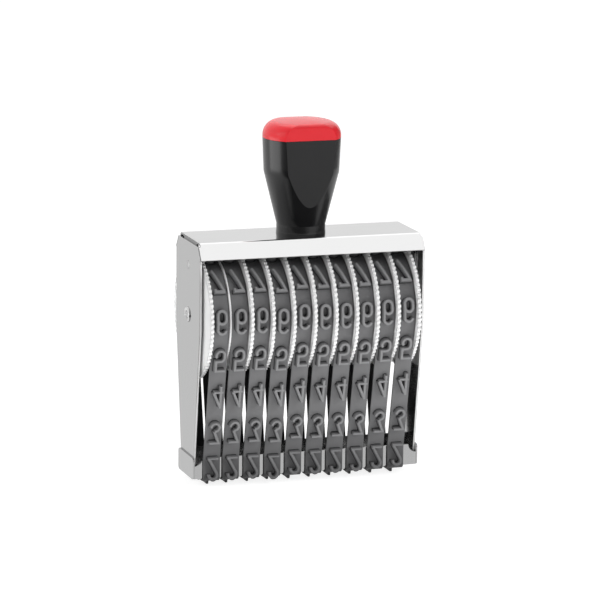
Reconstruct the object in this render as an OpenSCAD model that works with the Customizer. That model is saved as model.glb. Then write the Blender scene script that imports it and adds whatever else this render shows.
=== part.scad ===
// Hand numbering stamp: rubber number bands on thumb wheels in a folded steel frame with a plastic grip.
// Millimetres. Origin on the printing plane under the middle of the frame, +Z up, front is -Y.

/* [Columns] */
// Number of bands side by side
columns = 10; // [2:1:12]
// Width of one rubber band
band_w = 6.4; // [5:0.1:9]
// Side clearance between a band and the rims beside it
band_side_gap = 0.1; // [0.05:0.05:0.4]
// Running gap between neighbouring wheels
wheel_gap = 0.1; // [0.05:0.05:0.4]

/* [Thumb wheels] */
// Radius over the teeth of a rim
rim_r = 23.8; // [22.8:0.1:25]
// Thickness of a rim
rim_t = 1.3; // [0.8:0.1:2]
// Number of finger teeth round a rim
rim_teeth = 80; // [40:4:100]
// Depth of a finger tooth
tooth_depth = 0.5; // [0.2:0.1:0.8]
// Radius of the drum that carries the band
drum_r = 19.8; // [18:0.1:20.6]
// Wall of the drum
drum_wall = 2; // [1:0.1:3]
// Radius of the hub round the axle
hub_r = 5; // [4:0.1:7]
// Thickness of the extra thin flange on the first wheel
flange_t = 0.6; // [0.4:0.1:1]
// How far the thin flange stands below the rim
flange_step = 2.2; // [1.6:0.1:2.6]

/* [Number bands] */
// Thickness of the plain band
band_t = 0.8; // [0.6:0.1:1.4]
// Height of the raised characters
relief = 2.2; // [0.8:0.1:2.4]
// Distance between characters along the band
char_pitch = 14.4; // [13:0.1:14.8]
// Shift of all the characters along the band, from the printing face up the front
char_start = 0.4; // [-1:0.1:1]
// Height of a character
char_h = 8.5; // [7:0.1:10]
// Width of a character
char_w = 4.2; // [3.6:0.1:5]
// Width of a character's stroke
stroke = 1.0; // [0.7:0.05:1.2]
// Radial clearance between a band and its drum
drum_slack = 0.2; // [0.1:0.05:0.3]
// Clearance between a band and the shoe
shoe_slack = 0.05; // [0.05:0.05:0.2]

/* [Frame] */
// Thickness of the frame's steel sheet
sheet_t = 0.8; // [0.6:0.1:1.2]
// Height of the axle over the printing plane
axle_z = 63.1; // [58:0.1:70]
// Room over the wheels, up to the underside of the roof
head_room = 3.8; // [3.5:0.1:6]
// Depth of the flat roof between its two bends
roof_d = 24.3; // [22:0.1:30]
// Drop of a roof lip
lip_drop = 5.8; // [4:0.1:7]
// Outward flare of a roof lip
lip_flare = 4.1; // [2:0.1:5]
// How far a lip's ends stop short of the cheeks' outer faces
lip_setback = 0.15; // [0.05:0.05:0.6]
// Outer radius of the sheet's bends
bend_r = 1.4; // [1.3:0.1:2]
// Distance below the axle where the cheeks start to taper
taper_drop = 4.4; // [2:0.1:10]
// Depth of the roof's end tabs
tab_d = 16; // [10:0.5:20]
// Length of the roof's end tabs below the roof
tab_l = 14; // [13:0.5:18]
// Depth below the roof of the rivet through cheek and tab
rivet_drop = 10; // [7:0.5:11]
// Radius of those rivets
rivet_r = 1.5; // [1:0.1:2]
// Assembly clearance between fixed pieces
fit_gap = 0.03; // [0.02:0.01:0.1]

/* [Shoe] */
// Depth of the shoe over its walls
shoe_d = 19; // [17:0.1:22]
// Height of the shoe
shoe_h = 8; // [7:0.1:12]
// Thickness of the shoe's sheet
shoe_t = 0.6; // [0.5:0.1:1]
// Outer radius of the shoe's long bends
shoe_bend_r = 1.0; // [1:0.1:2]
// Radius of the long walls' top corners
wall_corner_r = 3; // [1:0.1:4]
// Radius of the end walls' top corners
end_corner_r = 1.2; // [0.5:0.1:2]
// Gap between a cheek's edge and the shoe's long walls at the shoe's top
foot_gap = 0.5; // [0.3:0.1:2]

/* [Axle] */
// Radius of the axle
axle_r = 2.4; // [2:0.1:3]
// Running clearance of the wheels on the axle
bore_gap = 0.05; // [0.02:0.01:0.08]
// How far the rolled-over axle ends stand out round the axle
axle_head_step = 0.5; // [0.3:0.1:1.5]
// Thickness of the rolled-over axle ends
axle_head_t = 0.4; // [0.2:0.1:0.8]
// Radius of the hollow in each axle end
axle_hollow_r = 1.5; // [0.8:0.1:1.7]
// Depth of that hollow
axle_hollow_l = 5; // [2:0.5:10]
// Thickness of the washer beside the first wheel
washer_t = 0.8; // [0.5:0.1:1.5]
// Length of the spacer beside the last wheel
spacer_l = 2.9; // [1:0.1:6]
// Outer radius of the washer and the spacer
spacer_r = 4.6; // [4:0.1:6]

/* [Handle] */
// Radius of the grip at its top
grip_r = 14.4; // [13:0.1:16]
// How much narrower the grip's radius is at its shoulder
grip_draft = 0.55; // [0:0.05:1]
// Depth of the grip between its two flats
grip_flat_d = 21.9; // [20:0.1:26]
// Radius of the neck
neck_r = 9; // [8:0.1:10]
// Outward step of the foot under the neck
foot_step = 0.1; // [0.1:0.1:0.8]
// Height of that foot
foot_h = 0.9; // [0.5:0.1:1.5]
// Height of the neck over the roof
neck_h = 3.5; // [2:0.1:8]
// Height of the grip's shoulder over the roof
shoulder_h = 23; // [18:0.5:28]
// Height of the seam under the cap over the roof
seam_h = 35.4; // [32:0.1:42]
// Height of the cap over the seam
cap_h = 6.6; // [6:0.1:9]
// Radius of the cap's rounded edge
cap_edge_r = 5.2; // [2:0.1:5.3]
// Crown of the cap's top
cap_crown = 0.6; // [0.2:0.1:1]
// Radius of the stem that plugs the cap into the grip
stem_r = 6; // [4:0.1:6.4]
// Length of that stem
stem_l = 9; // [5:0.5:11]

/* [Handle fixing] */
// Radius of the handle screw
screw_r = 2.9; // [2:0.1:3]
// Radius of the screw's head
screw_head_r = 5; // [4.5:0.1:6]
// Height of the screw's head
screw_head_h = 2.3; // [1.5:0.1:2.5]
// Width of the screw's driver slot
slot_w = 1.2; // [0.8:0.1:1.6]
// Depth of the screw's driver slot
slot_h = 1.1; // [0.6:0.1:1.3]
// Thickness of the washer under the head
screw_washer_t = 0.8; // [0.5:0.1:1]
// Radius of that washer
screw_washer_r = 6; // [5:0.1:8]
// Outer radius of the threaded insert
insert_r = 4.2; // [3.6:0.1:5]
// Length of the threaded insert
insert_l = 11; // [6:0.5:12]
// Depth of the insert's lower end above the handle's foot
insert_inset = 0.5; // [0.2:0.1:2]
// Spare depth of the screw hole above the insert
hole_spare = 3; // [1:0.5:4]

/* [Hidden] */
$fn = 96;
cut = 1;
embed = 0.2;
// How far curves that would only touch are made to cross
crossing = 0.02;

// Columns along X, worked out from the pieces that stand side by side
drum_w = band_w + 2 * band_side_gap;
pitch = drum_w + rim_t + wheel_gap;
first_w = rim_t + drum_w + flange_t;
stack_w = first_w + (columns - 1) * pitch;
inner_w = washer_t + wheel_gap + stack_w + wheel_gap + spacer_l;
frame_w = inner_w + 2 * sheet_t;
inner_x = inner_w / 2;
cheek_x = frame_w / 2;
first_x = -inner_x + washer_t + wheel_gap;
last_x = first_x + stack_w;

// Heights
shoe_z = relief + band_t + shoe_slack;
shoe_top = shoe_z + shoe_h;
roof_under = axle_z + rim_r + head_room;
roof_top = roof_under + sheet_t;
seam_z = roof_top + seam_h;
cap_top = seam_z + cap_h;
washer_z = roof_under - screw_washer_t;
head_z = washer_z - screw_head_h;
insert_z = roof_top + insert_inset;
hole_top = insert_z + insert_l + hole_spare;

// Roof lips: the turn of the bend and the outer bottom edge
lip_turn = atan2(lip_drop, lip_flare);
lip_y = roof_d / 2 + lip_flare;
lip_z = roof_top - lip_drop;
lip_x = cheek_x - lip_setback;

// Cheek edges stay just inside the lips, and run down into the shoe
cheek_y = lip_y - sheet_t / sin(lip_turn) - 2 * fit_gap;
cheek_top = roof_top - bend_r;
cheek_top_y = cheek_y - (cheek_top - lip_z) / tan(lip_turn);
taper_z = axle_z - taper_drop;
shoe_in_y = shoe_d / 2 - shoe_t;
foot_y = shoe_in_y - foot_gap;
foot_z = shoe_z + shoe_t;
foot_slope = (cheek_y - foot_y) / (taper_z - shoe_top);
foot_low_y = foot_y - foot_slope * (shoe_top - foot_z);
rivet_z = roof_top - rivet_drop;

// Loop of a band, on its inner face
loop_y = shoe_d / 2 + shoe_slack;
loop_z = shoe_z - shoe_slack;
loop_r = drum_r + drum_slack;
loop_corner = shoe_bend_r + shoe_slack;
run_r = loop_r - crossing;
crease_dist = norm([loop_y, axle_z - shoe_top]);
lean = asin(run_r / crease_dist) - atan2(loop_y, axle_z - shoe_top);
run_l = sqrt(pow(crease_dist, 2) - pow(run_r, 2));

// Lengths along a band's outer face, from the middle of the printing face to the front and up
flat_l = loop_y - loop_corner;
corner_l = (loop_corner + band_t) * PI / 2;
wall_l = shoe_top - band_t * tan(lean / 2) - loop_z - loop_corner;
slant_l = run_l - band_t * tan(lean / 2);
arc_l = (loop_r + band_t) * PI * (90 + lean) / 180;
to_corner = flat_l + corner_l;
to_crease = to_corner + wall_l;
to_wheel = to_crease + slant_l;
loop_l = 2 * (to_wheel + arc_l);

characters = ["1", "2", "3", "4", "5", "6", "7", "8", "9", "0", "-", ".", "/"];
steel = "silver";
rubber = "dimgray";

function two_digits(i) = str(i < 10 ? "0" : "", i);
wheel_names = [for (i = [1:columns]) str("thumb_wheel_", two_digits(i))];
band_names = [for (i = [1:columns]) str("number_band_", two_digits(i))];

// Place along the columns: left face of a wheel, and middle of a band
function wheel_x(i) = i == 1 ? first_x : first_x + first_w + wheel_gap + (i - 2) * pitch;
function band_x(i) = wheel_x(i) + (i == 1 ? rim_t : 0) + drum_w / 2;

// Place [y, z, turn about X] of a point on a band's outer face, s along it from the printing face
function half_place(s) =
    s < flat_l ? [-s, loop_z - band_t, 180] :
    s < to_corner ? corner_place(90 * (s - flat_l) / corner_l) :
    s < to_crease ? [-loop_y - band_t, loop_z + loop_corner + s - to_corner, 90] :
    s < to_wheel ? slant_place(s - to_crease) :
    wheel_place((s - to_wheel) / (loop_r + band_t) * 180 / PI - lean);
function corner_place(a) = [
    -flat_l - (loop_corner + band_t) * sin(a),
    loop_z + loop_corner - (loop_corner + band_t) * cos(a),
    180 - a];
function slant_place(s) = [
    -loop_y - band_t - s * sin(lean),
    shoe_top - band_t * tan(lean / 2) + s * cos(lean),
    90 + lean];
function wheel_place(a) = [
    -(loop_r + band_t) * cos(a),
    axle_z + (loop_r + band_t) * sin(a),
    90 - a];
function flip_place(p) = [-p[0], p[1], -p[2]];
function loop_place(s) = s <= loop_l / 2 ? half_place(s) : flip_place(half_place(loop_l - s));

// Lay a flat Y-Z outline along X
module along_x(from, to) {
    translate([from, 0, 0]) rotate([90, 0, 90]) linear_extrude(to - from) children();
}

module rod(from, to, r) {
    translate([from, 0, axle_z]) rotate([0, 90, 0]) cylinder(h = to - from, r = r);
}

// Outline of a bend: points of an arc of radius r that turns from direction a to direction b
function arc_points(centre, r, a, b, steps = 6) =
    [for (i = [0:steps]) centre + r * [cos(a + (b - a) * i / steps), sin(a + (b - a) * i / steps)]];

// Right half of the roof's section, on the sheet's outer or inner face
function roof_half(inset) =
    let (back = [sin(lip_turn), cos(lip_turn)] * inset,
         corner = [roof_d / 2 - inset * tan(lip_turn / 2), roof_top - inset],
         r = bend_r - inset,
         centre = corner - [r * tan(lip_turn / 2), r])
    concat(arc_points(centre, r, 90, 90 - lip_turn), [[lip_y, lip_z] - back]);
function reversed(points) = [for (i = [len(points) - 1:-1:0]) points[i]];
function flipped(points) = [for (p = points) [-p[0], p[1]]];
function mirrored(points) = reversed(flipped(points));

module roof_section() {
    polygon(concat(mirrored(roof_half(0)), roof_half(0), reversed(roof_half(sheet_t)),
        flipped(roof_half(sheet_t))));
}

module roof() {
    color(steel) difference() {
        union() {
            intersection() {
                along_x(-lip_x, lip_x) roof_section();
                roof_ends();
            }
            for (side = [-1, 1]) roof_tab(side);
        }
        translate([0, 0, roof_under - cut])
            cylinder(h = sheet_t + 2 * cut, r = screw_r + fit_gap);
        rivet_holes();
    }
}

// The flat of the roof ends between the cheeks, and its lips run on in front of them
module roof_ends() {
    union() {
        translate([-inner_x, -lip_y, lip_z - cut])
            cube([inner_w, 2 * lip_y, lip_drop + 2 * cut]);
        for (side = [0, 1]) mirror([0, side, 0])
            translate([-lip_x, cheek_top_y + fit_gap, lip_z - cut])
                cube([2 * lip_x, 2 * lip_y, cheek_top - lip_z + cut]);
    }
}

module roof_tab(side) {
    bar_x = side > 0 ? inner_x - sheet_t : -inner_x;
    translate([bar_x, -tab_d / 2, roof_top - tab_l])
        cube([sheet_t, tab_d, tab_l]);
}

module rivet_holes() {
    for (side = [-1, 1])
        translate([side > 0 ? inner_x - sheet_t - cut : -cheek_x - cut, 0, rivet_z]) rotate([0, 90, 0])
            cylinder(h = 2 * sheet_t + 2 * cut, r = rivet_r + fit_gap);
}

module frame_rivets() {
    color(steel) for (side = [-1, 1]) mirror([side < 0 ? 1 : 0, 0, 0])
        translate([inner_x - sheet_t, 0, rivet_z]) rotate([0, 90, 0]) rotate_extrude()
            polygon([[0, 0], [rivet_r, 0], [rivet_r, 2 * sheet_t], [rivet_r / 2, 2 * sheet_t + embed],
                [0, 2 * sheet_t + embed]]);
}

module cheek_outline() {
    half = [[foot_low_y, foot_z], [foot_y, shoe_top], [cheek_y, taper_z], [cheek_y, lip_z],
        [cheek_top_y, cheek_top]];
    polygon(concat(half, mirrored(half)));
}

module cheek(side) {
    difference() {
        along_x(side > 0 ? inner_x : -cheek_x, side > 0 ? cheek_x : -inner_x) cheek_outline();
        rod(-cheek_x - cut, cheek_x + cut, axle_r + fit_gap);
        rivet_holes();
    }
}

module left_cheek() {
    color(steel) cheek(-1);
}

module right_cheek() {
    color(steel) cheek(1);
}

// Section of the shoe's long walls and floor, offset inwards by the sheet
module shoe_section(inset) {
    r = shoe_bend_r - inset + shoe_t * (inset > 0 ? 1 : 0) * 0.5;
    y = shoe_d / 2 - inset;
    z = shoe_z + inset;
    union() {
        translate([-y + r, z]) square([2 * (y - r), r]);
        translate([-y, z + r]) square([2 * y, shoe_top - z - r + (inset > 0 ? cut : 0)]);
        for (side = [-1, 1]) translate([side * (y - r), z + r]) circle(r);
    }
}

module shoe_wall_outline() {
    x = cheek_x - fit_gap;
    difference() {
        translate([-x, shoe_z - cut]) square([2 * x, shoe_h + cut]);
        for (side = [-1, 1]) translate([side * x, shoe_top]) circle(wall_corner_r);
    }
}

module shoe_end(side) {
    r = end_corner_r;
    y = shoe_d / 2;
    along_x(side > 0 ? cheek_x : -cheek_x - shoe_t, side > 0 ? cheek_x + shoe_t : -cheek_x) union() {
        translate([-y + r, shoe_z]) square([2 * (y - r), shoe_h]);
        translate([-y, shoe_z + r]) square([2 * y, shoe_h - 2 * r]);
        for (a = [-1, 1]) for (b = [shoe_z + r, shoe_top - r]) translate([a * (y - r), b]) circle(r);
    }
}

module platen_shoe() {
    color(steel) union() {
        intersection() {
            along_x(-cheek_x, cheek_x) difference() {
                shoe_section(0);
                shoe_section(shoe_t);
            }
            translate([0, shoe_d, 0]) rotate([90, 0, 0]) linear_extrude(2 * shoe_d) shoe_wall_outline();
        }
        for (side = [-1, 1]) {
            shoe_end(side);
            translate([side > 0 ? cheek_x - cut : -cheek_x - embed, -foot_low_y, shoe_z])
                cube([cut + embed, 2 * foot_low_y, shoe_t]);
        }
    }
}

module wheel_axle() {
    end_x = cheek_x + axle_head_t;
    axle_head_r = axle_r + axle_head_step;
    color(steel) difference() {
        union() {
            rod(-end_x, end_x, axle_r);
            for (side = [-1, 1])
                rod(side > 0 ? cheek_x : -end_x, side > 0 ? end_x : -cheek_x, axle_head_r);
        }
        for (side = [-1, 1])
            rod(side > 0 ? end_x - axle_hollow_l : -end_x - cut,
                side > 0 ? end_x + cut : -end_x + axle_hollow_l, axle_hollow_r);
    }
}

module axle_ring(from, to) {
    difference() {
        rod(from, to, spacer_r);
        rod(from - cut, to + cut, axle_r + bore_gap);
    }
}

module axle_washer() {
    color(steel) axle_ring(-inner_x, -inner_x + washer_t);
}

module axle_spacer() {
    color("whitesmoke") axle_ring(inner_x - spacer_l, inner_x);
}

// Toothed rim: each tooth rises and falls over four points
module rim_outline() {
    step = 360 / rim_teeth;
    polygon([for (i = [0:rim_teeth - 1]) for (k = [0:3])
        let (a = (i + k / 4 - 0.125) * step, r = rim_r - (k < 2 ? 0 : tooth_depth))
        r * [cos(a), sin(a)]]);
}

// A wheel with its rim on the left and its drum to the right of it
module wheel_body(flange) {
    rotate([90, 0, 90]) difference() {
        union() {
            linear_extrude(rim_t) rim_outline();
            cylinder(h = rim_t + drum_w, r = drum_r);
            if (flange) translate([0, 0, rim_t + drum_w]) cylinder(h = flange_t, r = rim_r - flange_step);
        }
        translate([0, 0, rim_t]) difference() {
            cylinder(h = drum_w + flange_t + cut, r = drum_r - drum_wall);
            cylinder(h = drum_w + (flange ? flange_t : 0), r = hub_r);
        }
        translate([0, 0, -cut]) cylinder(h = first_w + 2 * cut, r = axle_r + bore_gap);
    }
}

// The first wheel is turned round: its rim faces the left cheek
module thumb_wheel(i) {
    color("whitesmoke") translate([wheel_x(i), 0, axle_z])
        if (i == 1) wheel_body(true);
        else translate([drum_w + rim_t, 0, 0]) mirror([1, 0, 0]) wheel_body(false);
}

// Half of a band's loop in the Y-Z plane, d outside its inner face: it enters the drum's circle at the top
function loop_half(d) = concat(
    [[0, axle_z], [(run_r + d) * cos(lean), axle_z - (run_r + d) * sin(lean)],
     [loop_y + d, shoe_top - d * tan(lean / 2)]],
    arc_points([flat_l, loop_z + loop_corner], loop_corner + d, 0, -90, 8));

module loop_solid(d, half_w) {
    union() {
        along_x(-half_w, half_w) translate([0, axle_z]) circle(loop_r + d);
        along_x(-half_w, half_w) polygon(concat(loop_half(d), mirrored(loop_half(d))));
    }
}

// The layer of a band between d0 and d1 outside its inner face
module band_layer(d0, d1) {
    difference() {
        loop_solid(d1, band_w / 2);
        loop_solid(d0, band_w / 2 + cut);
    }
}

module number_band(i) {
    color(rubber) translate([band_x(i), 0, 0]) union() {
        band_layer(0, band_t);
        for (k = [0:len(characters) - 1]) intersection() {
            band_layer(band_t - embed, band_t + relief);
            band_character(k);
        }
    }
}

// Characters read mirrored on the rubber, so that they print the right way round
module band_character(k) {
    place = loop_place(char_start + k * char_pitch);
    depth = 2 * (loop_corner + band_t) / 3;
    translate([0, place[0], place[1]]) rotate([place[2], 0, 0]) mirror([0, 1, 0])
        translate([0, 0, -depth]) linear_extrude(depth + 2 * relief) glyph(characters[k]);
}

// Strokes of the characters, in a box char_w by char_h about the origin
glyph_x = char_w / 2;
glyph_y = char_h / 2;
mid_x = glyph_x - stroke / 2;
mid_y = glyph_y - stroke / 2;
bowl_y = glyph_y - glyph_x;

module bar(p, q) {
    along = q - p;
    translate(p) rotate(atan2(along[1], along[0])) translate([0, -stroke / 2])
        square([norm(along), stroke]);
}

module block(x0, y0, x1, y1) {
    translate([x0, y0]) square([x1 - x0, y1 - y0]);
}

module bow(y, from, to) {
    reach = 2 * glyph_x;
    translate([0, y]) intersection() {
        difference() {
            circle(glyph_x);
            circle(glyph_x - stroke);
        }
        polygon(concat([[0, 0]], arc_points([0, 0], reach, from, to, 4)));
    }
}

module stadium(w, h) {
    union() {
        translate([-w / 2, -h / 2 + w / 2]) square([w, h - w]);
        for (side = [-1, 1]) translate([0, side * (h - w) / 2]) circle(w / 2);
    }
}

module loop_stroke(y, h) {
    w = min(char_w, h);
    translate([0, y]) difference() {
        stadium(w, h);
        stadium(w - 2 * stroke, h - 2 * stroke);
    }
}

module six() {
    loop_h = (char_h + 2 * stroke) / 2;
    union() {
        loop_stroke(-glyph_y + loop_h / 2, loop_h);
        block(-glyph_x, -glyph_y + loop_h / 2, -glyph_x + stroke, bowl_y);
        bow(bowl_y, 15, 180);
    }
}

module glyph(c) {
    loop_h = (char_h + stroke) / 2;
    if (c == "0") loop_stroke(0, char_h);
    if (c == "1") union() {
        block(-stroke / 2, -glyph_y, stroke / 2, glyph_y);
        bar([0, mid_y], [-glyph_x * 0.7, mid_y - glyph_x * 0.7]);
    }
    if (c == "2") union() {
        bow(bowl_y, -25, 190);
        bar([mid_x * cos(25), bowl_y - mid_x * sin(25)], [-mid_x, -mid_y]);
        block(-glyph_x, -glyph_y, glyph_x, -glyph_y + stroke);
    }
    if (c == "3") union() {
        block(-glyph_x, glyph_y - stroke, glyph_x, glyph_y);
        bar([mid_x, mid_y], [-stroke / 2, glyph_x - bowl_y - stroke / 2]);
        bow(-bowl_y, -165, 95);
    }
    if (c == "4") union() {
        block(stroke / 2, -glyph_y, 1.5 * stroke, glyph_y);
        bar([stroke, mid_y], [-mid_x, -glyph_y / 3]);
        block(-glyph_x, -glyph_y / 3 - stroke, glyph_x, -glyph_y / 3);
    }
    if (c == "5") union() {
        block(-glyph_x, glyph_y - stroke, glyph_x, glyph_y);
        block(-glyph_x, -bowl_y + mid_x * sin(45), -glyph_x + stroke, glyph_y);
        bow(-bowl_y, -165, 150);
    }
    if (c == "6") six();
    if (c == "7") union() {
        block(-glyph_x, glyph_y - stroke, glyph_x, glyph_y);
        block(-glyph_x, glyph_y - 2 * stroke, -glyph_x + stroke, glyph_y);
        bar([mid_x, mid_y], [-stroke, -glyph_y]);
    }
    if (c == "8") union() for (side = [-1, 1]) loop_stroke(side * (glyph_y - loop_h / 2), loop_h);
    if (c == "9") rotate(180) six();
    if (c == "-") block(-glyph_x, -stroke / 2, glyph_x, stroke / 2);
    if (c == ".") block(-stroke, -glyph_y, stroke, -glyph_y + 2 * stroke);
    if (c == "/") bar([-mid_x, -glyph_y], [mid_x, glyph_y]);
}

// Grip outline: foot, neck, cone and grip, cut by two flats
module grip_flats(from, to) {
    translate([-2 * grip_r, -grip_flat_d / 2, from]) cube([4 * grip_r, grip_flat_d, to - from]);
}

module handle_body() {
    foot_r = neck_r + foot_step;
    shoulder_r = grip_r - grip_draft;
    color([0.12, 0.12, 0.13]) difference() {
        intersection() {
            rotate_extrude() polygon([
                [0, roof_top], [foot_r, roof_top], [foot_r, roof_top + foot_h], [neck_r, roof_top + foot_h],
                [neck_r, roof_top + neck_h], [shoulder_r, roof_top + shoulder_h],
                [grip_r, seam_z], [0, seam_z]]);
            grip_flats(roof_top, seam_z);
        }
        translate([0, 0, roof_top - cut]) cylinder(h = hole_top - roof_top + cut, r = screw_r + fit_gap);
        translate([0, 0, roof_top - cut])
            cylinder(h = insert_z + insert_l + fit_gap - roof_top + cut, r = insert_r + fit_gap);
        translate([0, 0, seam_z - stem_l - fit_gap])
            cylinder(h = stem_l + fit_gap + cut, r = stem_r + fit_gap);
    }
}

module handle_cap() {
    edge_z = cap_top - cap_crown - cap_edge_r;
    edge_x = grip_r - cap_edge_r;
    crown_r = (pow(edge_x, 2) + pow(cap_crown, 2)) / (2 * cap_crown);
    color([0.85, 0.1, 0.15]) union() {
        intersection() {
            rotate_extrude() intersection() {
                translate([0, seam_z]) square([grip_r, cap_h + cut]);
                union() {
                    translate([0, seam_z]) square([grip_r + cut, edge_z - seam_z]);
                    translate([0, seam_z]) square([edge_x, cap_h + cut]);
                    translate([edge_x, edge_z]) circle(cap_edge_r + crossing);
                }
                translate([0, cap_top - crown_r]) circle(crown_r, $fn = 360);
            }
            grip_flats(seam_z, cap_top);
        }
        translate([0, 0, seam_z - stem_l]) cylinder(h = stem_l + embed, r = stem_r);
    }
}

module handle_screw() {
    color(steel) difference() {
        union() {
            translate([0, 0, head_z]) cylinder(h = screw_head_h, r = screw_head_r);
            translate([0, 0, head_z]) cylinder(h = insert_z + insert_l - head_z, r = screw_r);
        }
        translate([-2 * screw_head_r, -slot_w / 2, head_z - cut])
            cube([4 * screw_head_r, slot_w, slot_h + cut]);
    }
}

module screw_washer() {
    color(steel) translate([0, 0, washer_z]) difference() {
        cylinder(h = screw_washer_t, r = screw_washer_r);
        translate([0, 0, -cut]) cylinder(h = screw_washer_t + 2 * cut, r = screw_r + fit_gap);
    }
}

module threaded_insert() {
    color("goldenrod") translate([0, 0, insert_z]) difference() {
        cylinder(h = insert_l, r = insert_r);
        translate([0, 0, -cut]) cylinder(h = insert_l + 2 * cut, r = screw_r + fit_gap);
    }
}

roof();
left_cheek();
right_cheek();
frame_rivets();
platen_shoe();
wheel_axle();
axle_washer();
axle_spacer();
handle_body();
handle_cap();
handle_screw();
screw_washer();
threaded_insert();
for (i = [1:columns]) thumb_wheel(i);
for (i = [1:columns]) number_band(i);
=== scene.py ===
import bpy
import bmesh
import math
from mathutils import Matrix, Vector


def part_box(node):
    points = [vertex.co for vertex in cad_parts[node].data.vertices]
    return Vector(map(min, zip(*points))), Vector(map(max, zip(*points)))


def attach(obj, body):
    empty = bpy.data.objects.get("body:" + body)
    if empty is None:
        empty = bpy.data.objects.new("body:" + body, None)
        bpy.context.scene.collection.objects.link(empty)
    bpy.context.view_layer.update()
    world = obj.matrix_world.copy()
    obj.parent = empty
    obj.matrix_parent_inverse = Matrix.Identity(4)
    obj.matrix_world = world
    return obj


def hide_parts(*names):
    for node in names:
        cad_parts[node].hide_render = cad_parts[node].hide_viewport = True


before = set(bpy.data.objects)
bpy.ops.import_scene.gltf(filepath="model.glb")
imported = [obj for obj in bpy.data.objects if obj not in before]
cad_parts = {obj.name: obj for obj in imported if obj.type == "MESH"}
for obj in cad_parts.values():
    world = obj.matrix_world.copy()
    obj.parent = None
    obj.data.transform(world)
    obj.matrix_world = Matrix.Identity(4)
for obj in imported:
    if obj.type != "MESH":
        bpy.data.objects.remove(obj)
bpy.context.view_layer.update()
scene = bpy.context.scene
mm = 0.001


# a node's lowest and highest corner in millimetres
def boxOf(node):
    low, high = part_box(node)
    return [v / mm for v in low], [v / mm for v in high]


def middleOf(node, axis):
    low, high = boxOf(node)
    return (low[axis] + high[axis]) / 2


axleZ = middleOf("wheel_axle", 2)
roofZ = boxOf("handle_body")[0][2]
seamZ = boxOf("handle_body")[1][2]
capTop = boxOf("handle_cap")[1][2]
shoeLow, shoeHigh = boxOf("platen_shoe")
print("frame loaded:", len(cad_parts), "nodes")


# colours are written as sRGB hex and turned to linear here
def linear(hexText):
    channels = [int(hexText[i:i + 2], 16) / 255 for i in (1, 3, 5)]
    return [c / 12.92 if c <= 0.04045 else ((c + 0.055) / 1.055) ** 2.4 for c in channels] + [1.0]


# adds one node; links maps an input's name or number to the output that feeds it
def addNode(tree, kind, settings=None, values=None, links=None):
    node = tree.nodes.new(kind)
    for key, value in (settings or {}).items():
        setattr(node, key, value)
    for key, value in (values or {}).items():
        node.inputs[key].default_value = value
    for key, output in (links or {}).items():
        tree.links.new(output, node.inputs[key])
    return node


def newMaterial(name):
    material = bpy.data.materials.new(name)
    material.use_nodes = True
    material.node_tree.nodes.clear()
    return material, material.node_tree


def closeMaterial(tree, shader, bump=None):
    if bump is not None:
        tree.links.new(bump.outputs["Normal"], shader.inputs["Normal"])
    addNode(tree, "ShaderNodeOutputMaterial", links={"Surface": shader.outputs[0]})


# links a finished mesh as one piece of the object, in the place of its node
def addPiece(name, mesh, material, body, node):
    mesh.materials.clear()
    mesh.materials.append(material)
    piece = bpy.data.objects.new(name, mesh)
    scene.collection.objects.link(piece)
    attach(piece, body)
    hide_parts(node)


# faces between rows of points, each row a closed ring; wrap joins the last row to the first
def skinFaces(first, rows, across, wrap):
    faces = []
    for i in range(rows if wrap else rows - 1):
        here, there = first + i * across, first + (i + 1) % rows * across
        for k in range(across):
            beside = (k + 1) % across
            faces.append((here + k, here + beside, there + beside, there + k))
    return faces


def meshFrom(name, points, faces, smoothAngle):
    mesh = bpy.data.meshes.new(name)
    mesh.from_pydata([Vector(p) * mm for p in points], [], faces)
    mesh.validate()
    shapeUp(mesh, smoothAngle)
    return mesh


# merges doubles, points the faces outwards and shades smooth below an angle
def shapeUp(mesh, smoothAngle):
    bm = bmesh.new()
    bm.from_mesh(mesh)
    bmesh.ops.remove_doubles(bm, verts=bm.verts, dist=1e-7)  # metres
    bmesh.ops.recalc_face_normals(bm, faces=bm.faces)
    bm.to_mesh(mesh)
    bm.free()
    mesh.shade_smooth()
    mesh.set_sharp_from_angle(angle=math.radians(smoothAngle))


# plain mesh of a helper object with its modifier applied; the helper goes
def takeMesh(holder, modifier):
    mesh = bpy.data.meshes.new_from_object(holder.evaluated_get(bpy.context.evaluated_depsgraph_get()))
    holder.modifiers.remove(modifier)
    bpy.data.objects.remove(holder)
    return mesh


# camera: seen from the front left and a little above, with a long lens
cameraSet = {"target": (0, 0, axleZ - 2.4), "turn": -18.301, "rise": 11.739, "roll": -0.631,
             "distance": 1338.0, "lens": 217.9, "shift": (0.0004, 0.02376)}


def placeCamera(s):
    turn, rise, roll = (math.radians(s[k]) for k in ("turn", "rise", "roll"))
    back = Vector((math.sin(turn) * math.cos(rise), -math.cos(turn) * math.cos(rise), math.sin(rise)))
    right = Vector((math.cos(turn), math.sin(turn), 0))
    up = back.cross(right)
    across = right * math.cos(roll) - up * math.sin(roll)
    upright = right * math.sin(roll) + up * math.cos(roll)
    data = bpy.data.cameras.new("photoCamera")
    data.sensor_width = 36
    data.sensor_fit = "HORIZONTAL"
    data.lens = s["lens"]
    data.shift_x, data.shift_y = s["shift"]
    data.clip_end = 20
    camera = bpy.data.objects.new("photoCamera", data)
    scene.collection.objects.link(camera)
    place = Matrix((across, upright, back)).transposed().to_4x4()
    place.translation = (Vector(s["target"]) + back * s["distance"]) * mm
    camera.matrix_world = place
    scene.camera = camera


placeCamera(cameraSet)
print("camera placed")


# materials

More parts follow.
